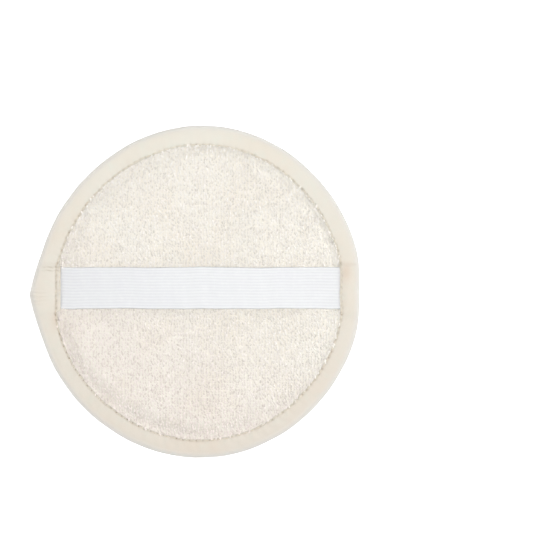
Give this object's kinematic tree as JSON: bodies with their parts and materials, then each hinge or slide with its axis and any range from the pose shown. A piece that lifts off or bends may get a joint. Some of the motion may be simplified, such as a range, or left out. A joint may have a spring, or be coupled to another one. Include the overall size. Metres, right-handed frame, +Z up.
{
  "type": "round loofah scrub pad with hand strap",
  "caption": "Flat round bath scrub pad: pressed loofah on one side, terry cloth on the other, a folded cotton binding round the rim and a ribbed elastic hand strap.",
  "frame": {"origin": "on the surface the pad lies on, below the middle of its outline, with the loofah side down", "axes": "+X along the hand strap, away from the corner where the binding's ends lap; +Y across the strap; +Z up, out of the terry side"},
  "size_m": [0.1494, 0.1505, 0.0168],
  "materials": {
    "loofah": "dry pressed gourd fibre",
    "terry": "undyed looped cotton",
    "binding": "plain woven cotton tape",
    "elastic": "ribbed knitted elastic",
    "thread": "cotton sewing thread"
  },
  "bodies": {
    "root": {"loofah_sheet": "loofah", "terry_cloth": "terry", "edge_binding": "binding", "hand_strap": "elastic", "thread_top": "thread", "thread_under": "thread"}
  },
  "joints": []
}
